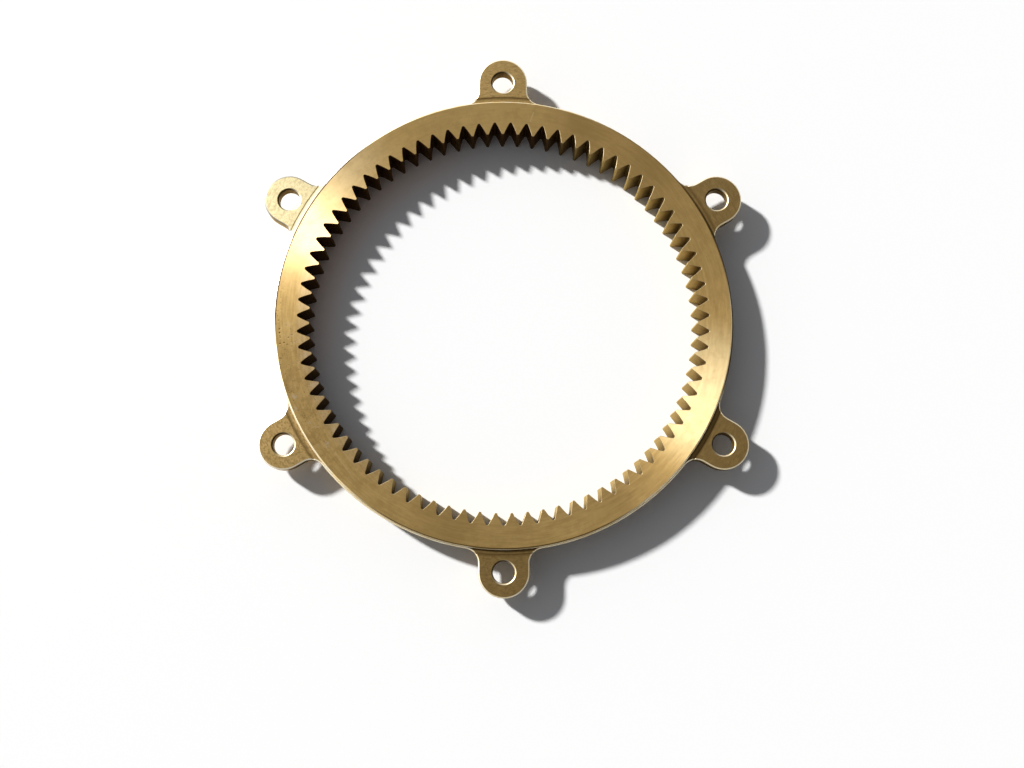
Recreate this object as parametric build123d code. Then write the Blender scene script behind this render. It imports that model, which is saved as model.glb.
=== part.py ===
from build123d import *
import math
import os

# Internal ring gear: one piece of brass with cut teeth, a thin flange and six bolt ears.
# Millimetres, +Z up. The origin is the centre of the bottom face, +Y runs through an ear.

# Teeth
TOOTH_COUNT = 79
MODULE = 1.25
PRESSURE_ANGLE = 26.0       # degrees, wide, so that tips and roots come out narrow
ADDENDUM_FACTOR = 1.25      # modules from the pitch circle in to the tooth tips
ROOT_ROUND = 0.38           # full round at the bottom of each tooth space
TIP_BEVEL = 0.12            # broken corners of each tooth tip
FIRST_TOOTH_ANGLE = 90.0    # degrees, direction of the first tooth

# Rim
RIM_WIDTH = 7.125           # pitch circle out to the side of the raised face
RIM_HEIGHT = 7.0
REGISTER_STEP = 0.25        # side of the raised face in to the register below the flange
RIM_EDGE_CHAMFER = 0.2

# Flange and ears
FLANGE_WIDTH = 0.5          # side of the raised face out to the edge of the flange
FLANGE_DEPTH = 0.9          # raised face down to the top of the flange
FLANGE_THICKNESS = 2.7
FLANGE_EDGE_CHAMFER = 0.2
EAR_COUNT = 6
EAR_FIRST_ANGLE = 90.0      # degrees, direction of the first ear
EAR_REACH = 5.0             # edge of the flange out to the bolt circle
EAR_END_RADIUS = 6.2
EAR_ROOT_FILLET = 3.5       # concave run from the side of an ear into the flange
BOLT_HOLE_DIAMETER = 5.3    # close clearance for M5
BOLT_HOLE_CHAMFER = 0.25
TOOL_LINE_OFFSET = 0.85     # edge of the flange out to the turned line across each ear
TOOL_LINE_WIDTH = 0.3
TOOL_LINE_DEPTH = 0.1

# Sizes that follow
PITCH_RADIUS = MODULE * TOOTH_COUNT / 2
BASE_RADIUS = PITCH_RADIUS * math.cos(math.radians(PRESSURE_ANGLE))
TIP_RADIUS = PITCH_RADIUS - ADDENDUM_FACTOR * MODULE
RIM_RADIUS = PITCH_RADIUS + RIM_WIDTH
REGISTER_RADIUS = RIM_RADIUS - REGISTER_STEP
FLANGE_RADIUS = RIM_RADIUS + FLANGE_WIDTH
FLANGE_TOP = RIM_HEIGHT - FLANGE_DEPTH
FLANGE_UNDERSIDE = FLANGE_TOP - FLANGE_THICKNESS
BOLT_CIRCLE_RADIUS = FLANGE_RADIUS + EAR_REACH
TOOL_LINE_RADIUS = FLANGE_RADIUS + TOOL_LINE_OFFSET


def polar(radius, angle):
    return (radius * math.cos(angle), radius * math.sin(angle))


def involute(slope):
    return math.tan(slope) - slope


def half_space(radius):
    """Half the angle that a tooth space takes at a radius, on its involute flanks."""
    at_pitch = math.pi / (2 * TOOTH_COUNT)
    slope = math.acos(BASE_RADIUS / radius)
    return at_pitch + involute(math.radians(PRESSURE_ANGLE)) - involute(slope)


def string_length(radius):
    """Length of the taut string from the base circle to the flank at a radius."""
    return math.sqrt(radius**2 - BASE_RADIUS**2)


def radius_on_flank(length):
    return math.hypot(BASE_RADIUS, length)


def root_centre_radius():
    """Where the round at the bottom of a space has its centre: it touches both flanks."""
    near, far = PITCH_RADIUS, PITCH_RADIUS + 2 * MODULE
    for _ in range(50):
        middle = (near + far) / 2
        if BASE_RADIUS * half_space(middle) > ROOT_ROUND:
            near = middle
        else:
            far = middle
    return middle


def space_edges():
    """One pitch of the toothed bore: a tooth tip, then the space centred on the X axis."""
    bevel_angle = half_space(TIP_RADIUS) + TIP_BEVEL / TIP_RADIUS
    flank_start = TIP_RADIUS + TIP_BEVEL
    root_centre = root_centre_radius()
    flank_end = radius_on_flank(string_length(root_centre) + ROOT_ROUND)

    # The involute is so short here that the arc through three of its points follows it.
    flank_radii = (flank_start, (flank_start + flank_end) / 2, flank_end)
    flank = [polar(radius, half_space(radius)) for radius in flank_radii]
    tip_end = polar(TIP_RADIUS, bevel_angle)
    side = [Line(tip_end, flank[0]), ThreePointArc(*flank)]
    other_side = [edge.mirror(Plane.XZ) for edge in side]

    root_start, root_middle = flank[-1], (root_centre + ROOT_ROUND, 0)
    root = ThreePointArc(root_start, root_middle, (root_start[0], -root_start[1]))
    tip_middle = math.pi / TOOTH_COUNT
    tip_start = polar(TIP_RADIUS, 2 * tip_middle - bevel_angle)
    tip = ThreePointArc(tip_start, polar(TIP_RADIUS, tip_middle), tip_end)
    return [tip] + side + [root] + other_side


def toothed_bore():
    """The whole opening inside the teeth, as one face."""
    pitch_angle = 360 / TOOTH_COUNT
    first_space = FIRST_TOOTH_ANGLE + pitch_angle / 2
    one_pitch = space_edges()
    edges = []
    for space in range(TOOTH_COUNT):
        turn = Rotation(0, 0, first_space + space * pitch_angle)
        edges += [turn * edge for edge in one_pitch]
    return make_face(edges)


def rim():
    """The turned rim before its teeth are cut: the register, and the raised face on top of it."""
    register = extrude(Circle(REGISTER_RADIUS), FLANGE_TOP)
    raised = Pos(0, 0, FLANGE_TOP) * extrude(Circle(RIM_RADIUS), FLANGE_DEPTH)
    bottom_edge = register.edges().filter_by(GeomType.CIRCLE).sort_by(Axis.Z)[0]
    top_edge = raised.edges().filter_by(GeomType.CIRCLE).sort_by(Axis.Z)[-1]
    return chamfer(bottom_edge, RIM_EDGE_CHAMFER) + chamfer(top_edge, RIM_EDGE_CHAMFER)


def ear_places(radius):
    """Places on a circle, one at each ear, with X pointing outwards."""
    return PolarLocations(radius, EAR_COUNT, start_angle=EAR_FIRST_ANGLE)


def flange_outline():
    """The flange's circle with its ears, blended by the concave fillets."""
    side_length = BOLT_CIRCLE_RADIUS / 2
    ear_side = Pos(-side_length / 2, 0) * Rectangle(side_length, 2 * EAR_END_RADIUS)
    ear = Circle(EAR_END_RADIUS) + ear_side
    outline = Circle(FLANGE_RADIUS) + [place * ear for place in ear_places(BOLT_CIRCLE_RADIUS)]
    side_station = math.sqrt(FLANGE_RADIUS**2 - EAR_END_RADIUS**2)
    corners = [
        vertex
        for place in ear_places(side_station)
        for side in (-EAR_END_RADIUS, EAR_END_RADIUS)
        for vertex in [outline.vertices().sort_by_distance((place * Pos(0, side)).position)[0]]
    ]
    return fillet(corners, EAR_ROOT_FILLET)


def flange():
    """The thin plate round the rim that carries the ears and their bolt holes."""
    plate = Pos(0, 0, FLANGE_UNDERSIDE) * extrude(flange_outline(), FLANGE_THICKNESS)
    plate = chamfer(plate.edges().filter_by(Plane.XY), FLANGE_EDGE_CHAMFER)
    for place in ear_places(BOLT_CIRCLE_RADIUS):
        plate -= place * bolt_hole()
    return plate - tool_line()


def bolt_hole():
    """Cutter for one bolt hole, with its chamfers at the flange's two faces."""
    radius = BOLT_HOLE_DIAMETER / 2
    mouth = radius + BOLT_HOLE_CHAMFER
    half = [
        (0, FLANGE_UNDERSIDE),
        (mouth, FLANGE_UNDERSIDE),
        (radius, FLANGE_UNDERSIDE + BOLT_HOLE_CHAMFER),
        (radius, FLANGE_TOP - BOLT_HOLE_CHAMFER),
        (mouth, FLANGE_TOP),
        (0, FLANGE_TOP),
    ]
    return revolve(Plane.XZ * make_face(Polyline(*half, close=True)), Axis.Z)


def tool_line():
    """Cutter for the shallow turned line that the facing tool leaves across the ears."""
    inner, outer = TOOL_LINE_RADIUS - TOOL_LINE_WIDTH / 2, TOOL_LINE_RADIUS + TOOL_LINE_WIDTH / 2
    ring = extrude(Circle(outer) - Circle(inner), TOOL_LINE_DEPTH)
    return Pos(0, 0, FLANGE_TOP - TOOL_LINE_DEPTH) * ring


def ring_gear():
    bore = extrude(toothed_bore(), RIM_HEIGHT)
    return rim() + flange() - bore


os.makedirs("parts", exist_ok=True)
export_step(ring_gear(), "parts/ring_gear.step")
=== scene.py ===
import math
from collections import namedtuple

import bmesh
import bpy
from mathutils import Euler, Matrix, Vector


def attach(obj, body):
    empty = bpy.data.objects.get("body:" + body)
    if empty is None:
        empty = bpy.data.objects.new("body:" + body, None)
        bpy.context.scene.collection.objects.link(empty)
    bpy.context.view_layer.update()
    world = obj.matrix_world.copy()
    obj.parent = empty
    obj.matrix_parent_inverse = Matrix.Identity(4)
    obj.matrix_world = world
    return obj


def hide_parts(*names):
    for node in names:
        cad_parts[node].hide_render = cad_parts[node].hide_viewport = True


# Internal ring gear in turned brass. Metres; the frame gives every size that is not named here.

MM = 0.001
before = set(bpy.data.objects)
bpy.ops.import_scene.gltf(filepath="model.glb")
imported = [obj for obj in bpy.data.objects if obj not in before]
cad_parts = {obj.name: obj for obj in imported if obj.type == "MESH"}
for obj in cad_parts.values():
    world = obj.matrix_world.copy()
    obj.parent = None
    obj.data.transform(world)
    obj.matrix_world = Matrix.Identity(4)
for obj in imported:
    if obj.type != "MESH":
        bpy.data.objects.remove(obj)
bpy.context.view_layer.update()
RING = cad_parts["ring_gear"]

# Zones of the surface, from the gear's own sizes
FACE_RADIUS = 56.5 * MM       # raised top face
TIP_RADIUS = 47.81 * MM
ROOT_RADIUS = 50.85 * MM
BOLT_CIRCLE = 62 * MM
BORE = 2.7 * MM               # a little over a bolt hole's radius
HOLE_MOUTH = 3.3 * MM         # a little over the radius of a hole's rounded mouth
RAISED_EDGE = 6.4 * MM        # the edge of the raised face is above this height
TEETH_REACH = ROOT_RADIUS + 0.1 * MM       # the toothed wall lies inside this radius
TOOTH_EDGE_REACH = ROOT_RADIUS + 0.2 * MM  # and its rounded edges inside this one
EAR_COUNT = 6

# Edge breaks
WELD = 0.002 * MM
FLAT = math.radians(0.5)
SHARP = math.radians(24)
EDGE_BREAK = 0.13 * MM
TOOTH_EDGE_BREAK = 0.08 * MM
EDGE_SEGMENTS = 2
TOOL_LINE = (57.7 * MM, 58 * MM)   # sides of the turned line: too shallow for rounded edges
LEVEL = 0.01 * MM             # the ends of a level edge differ in height by less than this
LEVEL_FACE = 0.99             # a level face's normal is steeper than this
EXACTLY_LEVEL = 0.999         # and that of a face no rounding has touched, steeper than this
SLOPED_FACE = 0.3             # a rounded or chamfered face's normal is steeper, a wall's isn't
FLAT_FACE_WEIGHT = 100        # keeps the large flat faces from being shaded as curved
MOST_CORNERS = 4              # faces with more are split into triangles

# Material slots, in the order in which paint() fills them
(TURNED_FACE, EAR_FACE, TURNED_SIDE, TOOTH_FLANK, BROKEN_EDGE, BORED_HOLE, RIM_EDGE, TOOTH_EDGE,
 HOLE_EDGE) = range(9)

# Floor, camera and light
FLOOR_SIZE = 6.0
WARM_FROM = 38 * MM           # warm light from the brass is painted on the floor from this radius out to the teeth
CAMERA_PLACE = (-4.45 * MM, -59.85 * MM, 223.3 * MM)
CAMERA_TILT = math.radians(6.2)
LENS = 31.6
SENSOR_WIDTH = 36
NEAREST = 0.01
SHIFT = (0.0261, 0.0799)
SUN_AZIMUTH = math.radians(146.5)
SUN_HEIGHT = math.radians(28.5)
SUN_STRENGTH = 6.0
SUN_WIDTH = math.radians(4)

# Finish of the brass
USUAL = (0.3, 0.7)            # most values of a noise lie between these
MIDDLE = (0.35, 0.65)
FILMED = 0.8                  # a thin film leaves this much of the metal's look
BUMP_STRENGTH = 0.5

# Its colours, which are linear
# the brighter tone of the face's rings, also blended in as painted light on one side
BRIGHT_BRASS = (0.74, 0.51, 0.20, 1)
DULLED = (0.60, 0.395, 0.14, 1)
# PALE and SOFT_PALE paint the highlights on the raised face; PALE also colours scratches and bright edges
PALE = (0.88, 0.70, 0.38, 1)
SOFT_PALE = (0.80, 0.61, 0.32, 1)
# painted highlight on the edges
WHITENED = (0.95, 0.95, 0.92, 1)
WORN = (0.88, 0.75, 0.49, 1)
# stain and tarnish, and the painted shade on one side of the raised face
STAIN_AND_SHADE = (0.38, 0.24, 0.085, 1)
# near black: painted shade on the teeth, painted shadow on the ears and edges, and the dark line along
# the raised face's edge
NEAR_BLACK = (0.045, 0.019, 0.005, 1)
# dark brown of pits and flecks, and of the painted shade on the tooth edges
DEEP_BROWN = (0.15, 0.08, 0.022, 1)
# worn bright edges, and the painted highlight beside the foot of the rim
BURNISH_AND_HIGHLIGHT = (0.96, 0.89, 0.70, 1)
BARE = (0.74, 0.59, 0.42, 1)
GRAZING = (1.0, 0.80, 0.45, 1)     # what brass returns at a grazing angle
RUBBED_GRAZING = (1.0, 0.96, 0.88, 1)     # and what its worn bright edges return
# painted highlight on the ears
CREAM = (0.75, 0.68, 0.42, 1)
SHADED_EDGE = (0.20, 0.19, 0.15, 1)
# painted shade on the edge of the raised face
RIM_EDGE_SHADE = (0.20, 0.13, 0.05, 1)
# stain in the ears' strokes, and painted shade along the turned line
EAR_STAIN_AND_SHADE = (0.17, 0.105, 0.035, 1)
# painted light and shade: lit and shaded tones of the ears
EAR_SHADED = ((0.25, 0.165, 0.06, 1), (0.31, 0.205, 0.075, 1))
EAR_LIT = ((0.60, 0.41, 0.155, 1), (0.72, 0.50, 0.21, 1))
SIDE_DULLED = (0.48, 0.31, 0.11, 1)
SIDE_SHADED = (0.10, 0.058, 0.02, 1)
FLANK = ((0.36, 0.245, 0.075, 1), (0.46, 0.325, 0.115, 1))
# painted shade in the roots of the teeth
ROOT_SHADE = (0.06, 0.032, 0.006, 1)
# painted shade inside the bolt holes
DRILLED = ((0.08, 0.042, 0.012, 1), (0.20, 0.12, 0.035, 1))
# painted shade on the hole chamfers
HOLE_EDGE_SHADE = (0.07, 0.045, 0.015, 1)
TOOTH_EDGE_WORN = ((0.32, 0.24, 0.12, 1), (0.46, 0.37, 0.22, 1))

# Colours of the surroundings: each pair of the sky runs from the horizon up
FLOOR_WHITE = (0.9, 0.9, 0.89, 1)
FLOOR_WARMED = (1.0, 0.84, 0.74, 1)    # beside the teeth, where the brass throws light back
FILL = ((0.67, 0.69, 0.72, 1), (0.18, 0.18, 0.19, 1))
MIRRORED_AWAY = ((0.62, 0.60, 0.56, 1), (0.12, 0.112, 0.095, 1))
MIRRORED_WINDOW = ((1.0, 0.97, 0.92, 1), (0.30, 0.285, 0.25, 1))
BLACK = (0, 0, 0, 1)

# Directions from the gear's axis, in degrees from +X
SUN_SIDE = 147               # the light comes from this side; painted shade on the teeth and walls and painted highlights on the ears follow it
HIGHLIGHT_SIDES = (147, 339)     # painted highlight: the raised face is painted palest on these sides, where the light glances off it
BARE_TEETH_SIDE = 185         # the face is worn bare beside the teeth
DARKER_SIDE = 0                 # painted shade: the face is painted darkest here
LIGHTER_SIDE = 110              # and cleanest here
SPECKLED_SIDE = 215           # the ears are most speckled here
DARK_LINE_SIDE = 156          # the edge of the raised face has a dark line on this side
SHADOWED_FLANGE_SIDE = 12         # painted shadow: the flange's edge is dark close to the rim on this side
SHADOWED_FOOT_SIDE = 8              # painted shadow: the foot of the raised face's edge is dark on this side
HIGHLIGHTED_EDGE_SIDE = 165           # painted highlight: the edges are painted palest here
OUTLINED_SIDE = 151           # the edges of this ear are dark
SHADED_RIM_SIDES = (268, 37)   # painted shade: the edge of the raised face is painted dark here
FOOT_SHADOW = 0.9 * MM           # painted shadow of the rim reaches this far from its foot

# Marks of age on the raised face, as places on the plan
CLOUDING = (-47 * MM, -22 * MM)
PITTING = (-54.2 * MM, -4.5 * MM)
SCRATCH = ((6.9 * MM, 51.2 * MM), (7.75 * MM, 53.4 * MM))
FAINT_SCRATCH = ((-42.1 * MM, -31.5 * MM), (-35.9 * MM, -40.0 * MM))
TARNISH = (                   # place and reach of each spot
    ((36.8 * MM, 39.5 * MM), 15 * MM), ((20.0 * MM, 49.6 * MM), 13 * MM),
    ((-51.6 * MM, 11.0 * MM), 14 * MM), ((-13.8 * MM, -51.7 * MM), 12 * MM),
    ((28.5 * MM, -45.3 * MM), 11 * MM), ((36.5 * MM, -39.1 * MM), 14 * MM),
)


class Shader:
    """Short calls for a node tree: each adds one node and returns its output."""

    def __init__(self, tree):
        self.tree = tree
        tree.nodes.clear()

    def add(self, kind, inputs=(), output=0, **settings):
        node = self.tree.nodes.new(kind)
        for name, value in settings.items():
            setattr(node, name, value)
        for key, value in dict(inputs).items():
            self.put(node.inputs[key], value)
        return node.outputs[output] if node.outputs else node

    def put(self, socket, value):
        if isinstance(value, bpy.types.NodeSocket):
            self.tree.links.new(value, socket)
        else:
            socket.default_value = value

    def math(self, operation, *values):
        return self.add("ShaderNodeMath", dict(enumerate(values)), operation=operation)

    def times(self, first, second):
        return self.math("MULTIPLY", first, second)

    def rest(self, share):
        """What a share leaves of 1."""
        return self.math("SUBTRACT", 1.0, share)

    def vector(self, x, y, z):
        return self.add("ShaderNodeCombineXYZ", {"X": x, "Y": y, "Z": z})

    def noise(self, vector, scale, detail=2.0, roughness=0.5):
        return self.add("ShaderNodeTexNoise",
                        {"Vector": vector, "Scale": scale, "Detail": detail, "Roughness": roughness})

    def cells(self, vector, scale):
        return self.add("ShaderNodeTexVoronoi", {"Vector": vector, "Scale": scale})

    def spread(self, value, low, high, to_low=0.0, to_high=1.0):
        return self.add("ShaderNodeMapRange",
                        {"Value": value, "From Min": low, "From Max": high,
                         "To Min": to_low, "To Max": to_high}, interpolation_type="SMOOTHSTEP")

    def blend(self, factor, first, second, mode="MIX"):
        return self.add("ShaderNodeMix", {0: factor, 6: first, 7: second}, 2,
                        data_type="RGBA", blend_type=mode)


def new_material(name):
    material = bpy.data.materials.new(name)
    material.use_nodes = True
    return material, Shader(material.node_tree)


Around = namedtuple("Around", "place radius height x y")


def around_axis(shader):
    """A point's place, radius and height in metres, and its unit direction from the gear's axis."""
    place = shader.add("ShaderNodeTexCoord", output="Object")
    split = shader.tree.nodes.new("ShaderNodeSeparateXYZ")
    shader.put(split.inputs[0], place)
    x, y, z = split.outputs
    squares = shader.math("ADD", shader.times(x, x), shader.times(y, y))
    radius = shader.math("SQRT", squares)
    return Around(place, radius, z, shader.math("DIVIDE", x, radius), shader.math("DIVIDE", y, radius))


def rings_across(shader, at, run, pitch):
    """Vector for marks that follow circles about the axis: run cells a radian, pitch a metre."""
    return shader.vector(shader.times(at.x, run), shader.times(at.y, run), shader.times(at.radius, pitch))


def on_plan(shader, place):
    """A place, moved down or up to height 0."""
    return shader.add("ShaderNodeVectorMath", {0: place, 1: (1, 1, 0)}, operation="MULTIPLY")


def reach(shader, place, spot, far):
    """1 at a spot on the plan, falling to 0 at a distance from it."""
    flat = on_plan(shader, place)
    away = shader.add("ShaderNodeVectorMath", {0: flat, 1: (*spot, 0)}, "Value", operation="DISTANCE")
    return shader.spread(away, 0.0, far, 1.0, 0.0)


def stroke(shader, place, start, end, width):
    """1 along a straight scratch on the plan, falling to 0 at its sides."""
    run = Vector((end[0] - start[0], end[1] - start[1], 0))
    flat = on_plan(shader, place)
    from_start = shader.add("ShaderNodeVectorMath", {0: flat, 1: (*start, 0)}, operation="SUBTRACT")
    along = shader.add("ShaderNodeVectorMath", {0: from_start, 1: run / run.length_squared},
                       "Value", operation="DOT_PRODUCT")
    along = shader.add("ShaderNodeClamp", {"Value": along})
    foot = shader.add("ShaderNodeVectorMath", {0: run, "Scale": along}, operation="SCALE")
    away = shader.add("ShaderNodeVectorMath", {0: from_start, 1: foot}, "Value", operation="DISTANCE")
    return shader.spread(away, width / 4, width / 2, 1.0, 0.0)


def on_side(shader, at, low, high, direction=SUN_SIDE):
    """0 to 1 round the gear's axis, highest towards a direction."""
    turn = math.radians(direction)
    side = shader.math("ADD", shader.times(at.x, math.cos(turn)), shader.times(at.y, math.sin(turn)))
    return shader.spread(side, low, high)


def facing(shader, low, high, direction=SUN_SIDE):
    """0 to 1 as a wall of the part faces from away to towards a direction."""
    turn = math.radians(direction)
    normal = shader.add("ShaderNodeTexCoord", output="Normal")
    along = shader.add("ShaderNodeVectorMath", {0: normal, 1: (math.cos(turn), math.sin(turn), 0)},
                       "Value", operation="DOT_PRODUCT")
    return shader.spread(along, low, high)


def brass_surface(shader, colour, rough, relief, depth, metal=1.0, brushed=0.0, turn=0.0, rim=0.5,
                  tint=GRAZING):
    """The metal itself, from its colour, roughness and relief."""
    bump = shader.add("ShaderNodeBump", {"Height": relief, "Strength": BUMP_STRENGTH, "Distance": depth})
    tangent = shader.add("ShaderNodeTangent", direction_type="RADIAL", axis="Z")
    surface = shader.add("ShaderNodeBsdfPrincipled",
                         {"Base Color": colour, "Metallic": metal, "Roughness": rough,
                          "Anisotropic": brushed, "Anisotropic Rotation": turn,
                          "Specular IOR Level": rim, "Specular Tint": tint,
                          "Tangent": tangent, "Normal": bump})
    shader.add("ShaderNodeOutputMaterial", {"Surface": surface})


def turned_face():
    """The raised face: fine rings from the lathe, clouding, tarnish, a few pits and two scratches, with
    painted highlights, and painted light and shade by side.
    """
    material, shader = new_material("turned_face")
    at = around_axis(shader)
    rings = shader.noise(rings_across(shader, at, 8.0, 1700.0), 1.0, 5.0, 0.75)
    cloud = shader.noise(at.place, 60.0, 5.0, 0.62)
    mottle = shader.noise(at.place, 380.0, 5.0, 0.7)
    grain = shader.noise(at.place, 3500.0, 2.0, 0.6)
    here = reach(shader, at.place, CLOUDING, 30 * MM)
    age = shader.add("ShaderNodeClamp", {"Value": shader.math(
        "ADD", shader.spread(cloud, 0.46, 0.70, 0.0, 0.5),
        shader.times(shader.spread(mottle, 0.47, 0.62), here))})
    specks = shader.spread(shader.cells(at.place, 1000.0), 0.17, 0.27, 1.0, 0.0)
    edge_on = shader.spread(at.radius, FACE_RADIUS - 2.6 * MM, FACE_RADIUS - 0.4 * MM)
    pits = shader.times(specks, shader.math(
        "ADD", shader.times(edge_on, reach(shader, at.place, PITTING, 22 * MM)),
        reach(shader, at.place, PITTING, 5 * MM)))
    flecks = shader.spread(shader.cells(at.place, 1150.0), 0.12, 0.24, 1.0, 0.0)
    flecked = shader.math("ADD", shader.times(here, 0.6),
                          shader.times(edge_on, reach(shader, at.place, PITTING, 30 * MM)))
    flecks = shader.times(flecks, flecked)
    scratch = stroke(shader, at.place, *SCRATCH, 0.5 * MM)
    faint_scratch = shader.times(stroke(shader, at.place, *FAINT_SCRATCH, 0.7 * MM), 0.35)
    scratch = shader.math("MAXIMUM", scratch, faint_scratch)
    # painted highlight: paler on the two sides where the light glances off the face
    soft_highlight = on_side(shader, at, 0.88, 1.0, HIGHLIGHT_SIDES[0])
    off_teeth = shader.spread(at.radius, ROOT_RADIUS - 2 * MM, ROOT_RADIUS + 2 * MM, 0.3, 0.85)
    soft_highlight = shader.times(soft_highlight, off_teeth)
    face_highlight = shader.times(on_side(shader, at, 0.92, 1.0, HIGHLIGHT_SIDES[1]), 0.85)
    near_roots = shader.spread(at.radius, ROOT_RADIUS - 1.5 * MM, ROOT_RADIUS + 1.2 * MM, 1.0, 0.0)
    by_teeth = shader.times(near_roots, on_side(shader, at, 0.5, 0.95, BARE_TEETH_SIDE))
    tarnish = 0.0
    for spot, far in TARNISH:
        tarnish = shader.math("MAXIMUM", reach(shader, at.place, spot, far), tarnish)

    colour = shader.blend(shader.spread(rings, 0.34, 0.66), DULLED, BRIGHT_BRASS)
    # painted shade and light: darker towards one side, lighter towards another
    darker_by_side = shader.times(on_side(shader, at, 0.1, 0.8, DARKER_SIDE), 0.25)
    painted_lit = shader.times(on_side(shader, at, 0.6, 1.0, LIGHTER_SIDE), 0.5)
    colour = shader.blend(darker_by_side, shader.blend(painted_lit, colour, BRIGHT_BRASS), STAIN_AND_SHADE)
    colour = shader.blend(face_highlight, shader.blend(soft_highlight, colour, SOFT_PALE), PALE)
    colour = shader.blend(shader.times(tarnish, 0.45), colour, STAIN_AND_SHADE)
    colour = shader.blend(shader.times(by_teeth, 0.28), colour, BARE)
    colour = shader.blend(shader.spread(mottle, 0.42, 0.66, 0.0, 0.22), colour, STAIN_AND_SHADE)
    colour = shader.blend(shader.times(age, 0.42), colour, STAIN_AND_SHADE)
    blotches = shader.times(shader.spread(mottle, 0.44, 0.34), here)
    colour = shader.blend(shader.times(blotches, 0.7), colour, BARE)
    colour = shader.blend(shader.times(flecks, 0.6), colour, DEEP_BROWN)
    colour = shader.blend(shader.times(pits, 0.8), colour, DEEP_BROWN)
    colour = shader.blend(shader.times(scratch, 0.35), colour, PALE)
    # a dark line along the edge of the raised face, on one side
    dark_rim_line = shader.times(shader.spread(at.radius, FACE_RADIUS - 0.50 * MM, FACE_RADIUS - 0.36 * MM),
                        on_side(shader, at, 0.84, 0.93, DARK_LINE_SIDE))
    colour = shader.blend(shader.times(dark_rim_line, 0.9), colour, NEAR_BLACK)
    rough = shader.math("ADD", shader.spread(rings, *USUAL, 0.42, 0.50), shader.times(age, 0.08))
    relief = shader.math("ADD", shader.times(rings, 0.5), shader.times(grain, 0.5))
    relief = shader.math("SUBTRACT", relief, shader.times(pits, 4.0))
    brass_surface(shader, colour, rough, relief, 0.008 * MM, metal=FILMED, brushed=0.85, turn=0.268)
    return material


def ear_face():
    """The ears: coarser strokes of the facing tool and stain in them, with painted light and shade, and
    painted shadow at the foot of the rim.
    """
    material, shader = new_material("ear_face")
    at = around_axis(shader)
    strokes = shader.noise(rings_across(shader, at, 34.0, 2300.0), 1.0, 4.0, 0.7)
    mottle = shader.noise(at.place, 500.0, 4.0, 0.7)
    grain = shader.noise(at.place, 3000.0, 2.0, 0.6)
    speckle = shader.noise(at.place, 1500.0, 3.0, 0.7)
    stain = shader.times(shader.spread(strokes, 0.53, 0.40), shader.spread(mottle, 0.38, 0.55))

    # painted light and shade: the ears darker away from the light, lighter towards it
    shaded_tone = shader.blend(shader.spread(mottle, *USUAL), *EAR_SHADED)
    painted_lit = shader.blend(shader.spread(mottle, *USUAL), *EAR_LIT)
    colour = shader.blend(on_side(shader, at, -0.9, 1.15), shaded_tone, painted_lit)
    # painted highlight: the ears palest towards the light
    pale = shader.times(on_side(shader, at, 0.88, 1.0), 0.8)
    colour = shader.blend(pale, colour, CREAM)
    speckled = shader.times(shader.spread(speckle, 0.48, 0.62),
                           on_side(shader, at, -0.2, 0.9, SPECKLED_SIDE))
    stain = shader.math("MAXIMUM", shader.times(stain, 0.5), shader.math(
        "ADD", shader.times(speckled, 0.3), shader.spread(speckle, 0.48, 0.62, 0.0, 0.25)))
    stain = shader.times(stain, shader.rest(shader.times(pale, 0.4)))
    colour = shader.blend(stain, colour, EAR_STAIN_AND_SHADE)
    # painted shade along the turned line, on all sides but the one towards the light
    shaded_line = shader.times(shader.spread(at.radius, TOOL_LINE[0] - 0.6 * MM, TOOL_LINE[0]),
                          shader.spread(at.radius, TOOL_LINE[1], TOOL_LINE[1] + 0.5 * MM, 0.6, 0.0))
    shaded_line = shader.times(shaded_line, shader.rest(on_side(shader, at, 0.7, 0.95)))
    colour = shader.blend(shaded_line, colour, EAR_STAIN_AND_SHADE)
    # painted highlight: a pale band between the rim and the turned line on the side towards the light
    highlit_foot = shader.times(on_side(shader, at, 0.8, 0.95),
                              shader.spread(at.radius, TOOL_LINE[0] - 0.4 * MM, TOOL_LINE[0], 0.8, 0.0))
    colour = shader.blend(highlit_foot, colour, BURNISH_AND_HIGHLIGHT)
    # painted shadow: dark beside the foot of the rim, away from the light
    foot = shader.times(shader.spread(at.radius, FACE_RADIUS, FACE_RADIUS + FOOT_SHADOW, 1.0, 0.0),
                       shader.rest(on_side(shader, at, -0.3, 0.5)))
    colour = shader.blend(shader.times(foot, 0.9), colour, NEAR_BLACK)
    rough = shader.math("ADD", shader.spread(strokes, *USUAL, 0.43, 0.49), shader.times(stain, 0.05))
    relief = shader.math("ADD", strokes, shader.times(grain, 0.4))
    brass_surface(shader, colour, rough, relief, 0.016 * MM, metal=FILMED, brushed=0.3, turn=0.263,
                  rim=0.25)
    return material


def turned_side():
    """The sides: rings stacked in height, with painted shade on the walls that face away from the light.
    """
    material, shader = new_material("turned_side")
    at = around_axis(shader)
    vector = shader.vector(shader.times(at.x, 2.0), shader.times(at.y, 2.0),
                           shader.times(at.height, 9000.0))
    rings = shader.noise(vector, 1.0, 2.0, 0.5)
    mottle = shader.noise(at.place, 300.0, 4.0, 0.65)
    colour = shader.blend(shader.spread(rings, 0.2, 0.8), SIDE_DULLED, DULLED)
    colour = shader.blend(shader.spread(mottle, 0.48, 0.75, 0.0, 0.4), colour, STAIN_AND_SHADE)
    # painted shade on the walls that face away from the light
    colour = shader.blend(facing(shader, -0.3, 0.5), SIDE_SHADED, colour)
    rough = shader.spread(mottle, *USUAL, 0.32, 0.44)
    brass_surface(shader, colour, rough, rings, 0.01 * MM, metal=FILMED, brushed=0.5)
    return material


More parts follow.
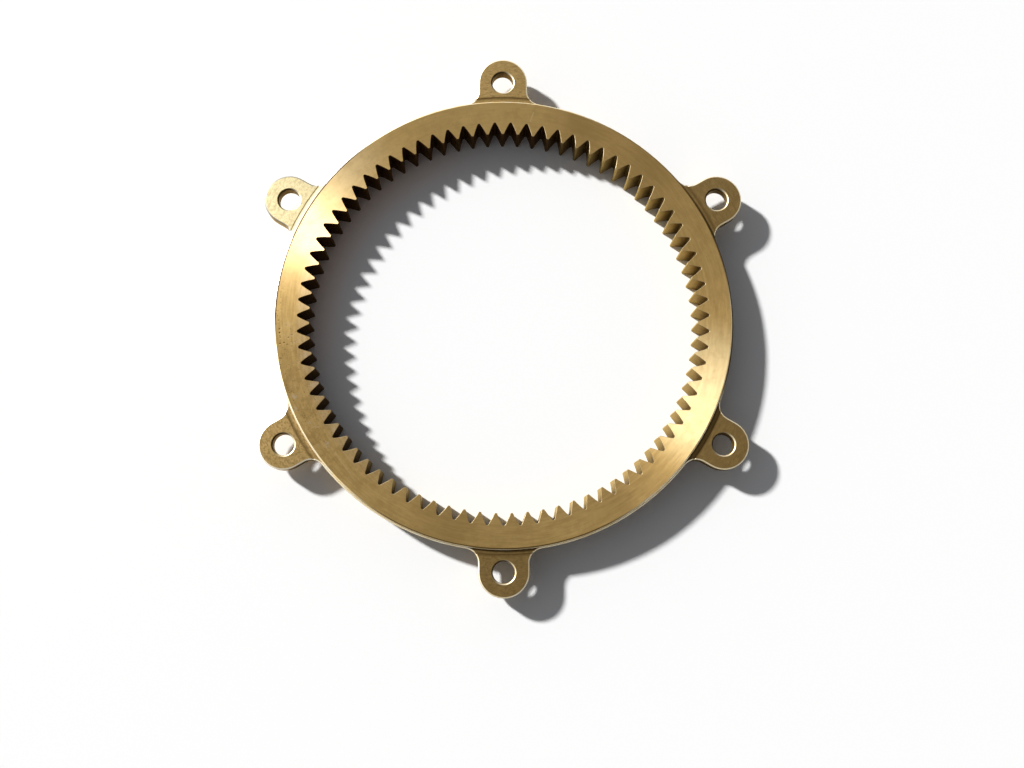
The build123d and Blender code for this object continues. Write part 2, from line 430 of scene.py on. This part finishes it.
def tooth_flank():
    """The teeth: strokes down the flanks, painted shade towards the bottom of each space, and painted
    shade on the teeth whose flanks face away from the light.
    """
    material, shader = new_material("tooth_flank")
    at = around_axis(shader)
    vector = shader.vector(shader.times(at.x, 700.0), shader.times(at.y, 700.0),
                           shader.times(at.height, 90.0))
    strokes = shader.noise(vector, 1.0, 3.0, 0.6)
    mottle = shader.noise(at.place, 600.0, 3.0, 0.6)
    # painted shade, deepening towards the roots of the tooth spaces
    uneven = shader.math("ADD", at.radius, shader.spread(mottle, 0.2, 0.8, -0.4 * MM, 0.4 * MM))
    root_shade = shader.spread(uneven, TIP_RADIUS + 0.4 * MM, ROOT_RADIUS, 0.1, 1.0)
    colour = shader.blend(shader.spread(strokes, *USUAL), *FLANK)
    colour = shader.blend(shader.times(root_shade, 0.85), colour, ROOT_SHADE)
    # painted shade on the teeth whose flanks face away from the light
    colour = shader.blend(on_side(shader, at, -0.1, 0.4), colour, NEAR_BLACK)
    rough = shader.spread(strokes, *USUAL, 0.38, 0.50)
    brass_surface(shader, colour, rough, strokes, 0.008 * MM, metal=0.45, rim=0.1)
    return material


def bored_hole():
    """The walls of the bolt holes: rings from the drill, darkened all round by painted shade."""
    material, shader = new_material("bored_hole")
    place = shader.add("ShaderNodeTexCoord", output="Object")
    squeezed = shader.add("ShaderNodeVectorMath", {0: place, 1: (300, 300, 5000)}, operation="MULTIPLY")
    rings = shader.noise(squeezed, 1.0, 3.0, 0.6)
    colour = shader.blend(shader.spread(rings, *USUAL), *DRILLED)
    rough = shader.spread(rings, *USUAL, 0.34, 0.46)
    brass_surface(shader, colour, rough, rings, 0.01 * MM, metal=0.5, rim=0.1)
    return material


def broken_edge():
    """Edges of the flange and ears, worn bright, with nicks, a painted highlight, a painted shadow by the
    rim and a dark outline.
    """
    material, shader = new_material("broken_edge")
    at = around_axis(shader)
    wear = shader.noise(at.place, 260.0, 3.0, 0.6)
    nicks = shader.noise(at.place, 1800.0, 2.0, 0.6)
    colour = shader.blend(shader.spread(wear, *MIDDLE), WORN, BURNISH_AND_HIGHLIGHT)
    # painted shadow of the raised face on the flange's edge
    shadowed_side = on_side(shader, at, 0.80, 0.92, SHADOWED_FLANGE_SIDE)
    by_rim = shader.spread(at.radius, FACE_RADIUS + 0.55 * MM, FACE_RADIUS + 0.8 * MM, 1.0, 0.0)
    darkened = shader.times(shadowed_side, by_rim)
    # painted highlight on the edges towards the light
    colour = shader.blend(on_side(shader, at, 0.5, 0.9, HIGHLIGHTED_EDGE_SIDE), colour, WHITENED)
    outlined_side = on_side(shader, at, 0.93, 0.97, OUTLINED_SIDE)
    off_rim = shader.spread(at.radius, FACE_RADIUS + 1.2 * MM, FACE_RADIUS + 2.6 * MM, 0.0, 0.9)
    outlined = shader.times(outlined_side, off_rim)
    colour = shader.blend(outlined, colour, SHADED_EDGE)
    colour = shader.blend(shader.times(darkened, 0.93), colour, NEAR_BLACK)
    rough = shader.spread(wear, *USUAL, 0.60, 0.48)
    brass_surface(shader, colour, rough, nicks, 0.01 * MM, rim=0.15, tint=RUBBED_GRAZING,
                  metal=shader.rest(shader.times(darkened, 0.9)))
    return material


def rim_edge():
    """The edge of the raised face: bright, except for painted shade on two sides, painted shadow at its
    foot on one side, and a dark line on another.
    """
    material, shader = new_material("rim_edge")
    at = around_axis(shader)
    wear = shader.noise(at.place, 260.0, 3.0, 0.6)
    nicks = shader.noise(at.place, 1800.0, 2.0, 0.6)
    bright = shader.blend(shader.spread(wear, *MIDDLE), PALE, BURNISH_AND_HIGHLIGHT)
    # painted shade on the edge of the raised face, on two sides away from the light
    darker_by_side = shader.math("MAXIMUM", on_side(shader, at, 0.72, 0.9, SHADED_RIM_SIDES[0]),
                       on_side(shader, at, 0.80, 0.95, SHADED_RIM_SIDES[1]))
    colour = shader.blend(darker_by_side, bright, RIM_EDGE_SHADE)
    # painted shadow at the foot of the edge, joined with the dark line along it
    shadowed_foot = shader.times(on_side(shader, at, 0.80, 0.92, SHADOWED_FOOT_SIDE),
                           shader.spread(at.radius, FACE_RADIUS - 0.16 * MM, FACE_RADIUS - 0.08 * MM))
    darkened = shader.math("MAXIMUM", on_side(shader, at, 0.84, 0.93, DARK_LINE_SIDE), shadowed_foot)
    colour = shader.blend(darkened, colour, NEAR_BLACK)
    rough = shader.spread(wear, *USUAL, 0.58, 0.46)
    brass_surface(shader, colour, rough, nicks, 0.01 * MM, rim=0.2,
                  metal=shader.rest(shader.times(darkened, 0.9)))
    return material


def hole_edge():
    """The chamfers of the bolt holes: painted shade on the side away from the light, bright metal on the
    other.
    """
    material, shader = new_material("hole_edge")
    place = shader.add("ShaderNodeTexCoord", output="Object")
    wear = shader.noise(place, 500.0, 3.0, 0.6)
    bright = shader.blend(shader.spread(wear, *MIDDLE), PALE, BURNISH_AND_HIGHLIGHT)
    # painted shade on the chamfers that face away from the light
    facing_light = facing(shader, -0.35, 0.45)
    colour = shader.blend(facing_light, HOLE_EDGE_SHADE, bright)
    rough = shader.spread(wear, *USUAL, 0.58, 0.46)
    brass_surface(shader, colour, rough, wear, 0.004 * MM, rim=0.2,
                  metal=shader.math("ADD", 0.2, shader.times(facing_light, 0.8)))
    return material


def tooth_edge():
    """The small edges of the teeth: less handled, so duller than the others, with painted shade like the
    teeth.
    """
    material, shader = new_material("tooth_edge")
    at = around_axis(shader)
    wear = shader.noise(at.place, 500.0, 3.0, 0.6)
    nicks = shader.noise(at.place, 2400.0, 2.0, 0.6)
    colour = shader.blend(shader.spread(wear, *MIDDLE), *TOOTH_EDGE_WORN)
    # painted shade on the tooth edges whose teeth face away from the light
    darkened = on_side(shader, at, 0.35, 0.9)
    colour = shader.blend(darkened, colour, DEEP_BROWN)
    rough = shader.spread(wear, *USUAL, 0.60, 0.48)
    brass_surface(shader, colour, rough, nicks, 0.002 * MM, rim=0.2,
                  metal=shader.math("SUBTRACT", 0.7, shader.times(darkened, 0.65)))
    return material


def beside_tool_line(corners):
    """Whether every corner lies on one side wall of the turned line across the ears."""
    return any(all(abs(corner.co.xy.length - side) < LEVEL for corner in corners) for side in TOOL_LINE)


def is_sharp(edge):
    """Whether an edge is a level, sharp one that is to be rounded."""
    return (len(edge.link_faces) == 2 and edge.calc_face_angle() > SHARP
            and abs(edge.verts[0].co.z - edge.verts[1].co.z) < LEVEL and not beside_tool_line(edge.verts))


def by_the_teeth(edge):
    return all(corner.co.xy.length < TEETH_REACH for corner in edge.verts)


def edge_slot(radius, height, from_hole):
    """Material of a rounded or chamfered edge: tooth edge, rim edge, hole edge or broken edge."""
    if radius < TOOTH_EDGE_REACH:
        return TOOTH_EDGE
    if radius < FACE_RADIUS + LEVEL and height > RAISED_EDGE:
        return RIM_EDGE
    return HOLE_EDGE if from_hole < HOLE_MOUTH else BROKEN_EDGE


def softened_copy(cad_object):
    """The CAD mesh, welded and merged into whole faces, with the edges of its flat faces rounded."""
    mesh = cad_object.data.copy()
    mesh.name = "ring_gear_finish"
    build = bmesh.new()
    build.from_mesh(mesh)
    bmesh.ops.remove_doubles(build, verts=build.verts, dist=WELD)
    bmesh.ops.dissolve_limit(build, angle_limit=FLAT, verts=build.verts, edges=build.edges)
    for of_teeth, size in ((True, TOOTH_EDGE_BREAK), (False, EDGE_BREAK)):
        sharp = [edge for edge in build.edges if is_sharp(edge) and by_the_teeth(edge) == of_teeth]
        bmesh.ops.bevel(build, geom=sharp, offset=size, segments=EDGE_SEGMENTS, profile=0.5,
                        affect="EDGES", clamp_overlap=False)
    bmesh.ops.triangulate(build, faces=[f for f in build.faces if len(f.verts) > MOST_CORNERS])
    for face in build.faces:
        face.smooth = True
    for edge in build.edges:
        edge.smooth = sum(abs(f.normal.z) > EXACTLY_LEVEL for f in edge.link_faces) != 1
    build.to_mesh(mesh)
    build.free()
    piece = bpy.data.objects.new("ring_gear_finish", mesh)
    bpy.context.scene.collection.objects.link(piece)
    flatten = piece.modifiers.new("flat_faces_stay_flat", "WEIGHTED_NORMAL")
    flatten.weight = FLAT_FACE_WEIGHT
    flatten.keep_sharp = True
    bpy.context.view_layer.objects.active = piece
    bpy.ops.object.modifier_apply(modifier=flatten.name)
    return piece


def paint(piece):
    """Gives each face the material of the cut that made it."""
    mesh = piece.data
    mesh.materials.clear()
    for material in (turned_face(), ear_face(), turned_side(), tooth_flank(), broken_edge(), bored_hole(),
                     rim_edge(), tooth_edge(), hole_edge()):
        mesh.materials.append(material)
    holes = [Vector((BOLT_CIRCLE * math.sin(turn), BOLT_CIRCLE * math.cos(turn)))
             for turn in (math.radians(360 / EAR_COUNT * ear) for ear in range(EAR_COUNT))]
    for face in mesh.polygons:
        centre = Vector(face.center[:2])
        radius = centre.length
        from_hole = min((centre - hole).length for hole in holes)
        if abs(face.normal.z) > LEVEL_FACE:
            face.material_index = TURNED_FACE if radius < FACE_RADIUS else EAR_FACE
        elif beside_tool_line([mesh.vertices[corner] for corner in face.vertices]):
            face.material_index = EAR_FACE
        elif abs(face.normal.z) > SLOPED_FACE:
            face.material_index = edge_slot(radius, face.center.z, from_hole)
        elif from_hole < BORE:
            face.material_index = BORED_HOLE
        else:
            face.material_index = TOOTH_FLANK if radius < TEETH_REACH else TURNED_SIDE


ring = softened_copy(RING)
paint(ring)
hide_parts("ring_gear")
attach(ring, "root")


def floor():
    """A white floor, with warm light from the brass painted beside the teeth."""
    bpy.ops.mesh.primitive_plane_add(size=FLOOR_SIZE)
    plane = bpy.context.object
    plane.name = "floor"
    material, shader = new_material("floor_white")
    at = around_axis(shader)
    under_teeth = shader.times(shader.spread(at.radius, WARM_FROM, TIP_RADIUS),
                              shader.spread(at.radius, ROOT_RADIUS, FACE_RADIUS - 1 * MM, 1.0, 0.0))
    warmed = shader.times(under_teeth, on_side(shader, at, 0.55, 1.0))
    surface = shader.add("ShaderNodeBsdfPrincipled",
                         {"Base Color": shader.blend(warmed, FLOOR_WHITE, FLOOR_WARMED),
                          "Roughness": 0.7, "Specular IOR Level": 0.2})
    shader.add("ShaderNodeOutputMaterial", {"Surface": surface})
    plane.data.materials.append(material)


def sun():
    lamp = bpy.data.lights.new("sun", "SUN")
    lamp.energy = SUN_STRENGTH
    lamp.angle = SUN_WIDTH
    holder = bpy.data.objects.new("sun", lamp)
    towards = Vector((math.cos(SUN_AZIMUTH) * math.cos(SUN_HEIGHT),
                      math.sin(SUN_AZIMUTH) * math.cos(SUN_HEIGHT), math.sin(SUN_HEIGHT)))
    holder.rotation_euler = towards.to_track_quat("Z", "Y").to_euler()
    bpy.context.scene.collection.objects.link(holder)


def sky():
    """A pale studio: the metal sees brighter surroundings than those that fill the shadows."""
    world = bpy.data.worlds.new("studio")
    world.use_nodes = True
    bpy.context.scene.world = world
    shader = Shader(world.node_tree)
    direction = shader.add("ShaderNodeTexCoord", output="Generated")
    split = shader.tree.nodes.new("ShaderNodeSeparateXYZ")
    shader.put(split.inputs[0], direction)
    up = split.outputs[2]
    window = (math.cos(SUN_AZIMUTH), math.sin(SUN_AZIMUTH), 0)
    near_window = shader.add("ShaderNodeVectorMath", {0: direction, 1: window}, "Value",
                             operation="DOT_PRODUCT")
    fill = shader.blend(shader.spread(up, 0.0, 0.9), *FILL)
    fill = shader.blend(shader.spread(near_window, -0.5, 0.7, 0.32, 1.0), BLACK, fill)
    high_up = shader.spread(up, 0.1, 0.95)
    seen = shader.blend(shader.spread(near_window, -0.45, 0.45),
                        shader.blend(high_up, *MIRRORED_AWAY),
                        shader.blend(high_up, *MIRRORED_WINDOW))
    rays = shader.tree.nodes.new("ShaderNodeLightPath")
    mirrored = shader.math("MAXIMUM", rays.outputs["Is Camera Ray"],
                           shader.math("MAXIMUM", rays.outputs["Is Glossy Ray"],
                                       rays.outputs["Is Transmission Ray"]))
    surface = shader.add("ShaderNodeBackground",
                         {"Color": shader.blend(mirrored, fill, seen), "Strength": 1.0})
    shader.add("ShaderNodeOutputWorld", {"Surface": surface})


def camera():
    lens = bpy.data.cameras.new("camera")
    lens.lens = LENS
    lens.sensor_width = SENSOR_WIDTH
    lens.shift_x, lens.shift_y = SHIFT
    lens.clip_start = NEAREST
    holder = bpy.data.objects.new("camera", lens)
    holder.location = CAMERA_PLACE
    holder.rotation_euler = Euler((CAMERA_TILT, 0, 0))
    bpy.context.scene.collection.objects.link(holder)
    bpy.context.scene.camera = holder


floor()
sun()
sky()
camera()
bpy.context.scene.view_settings.view_transform = "Standard"
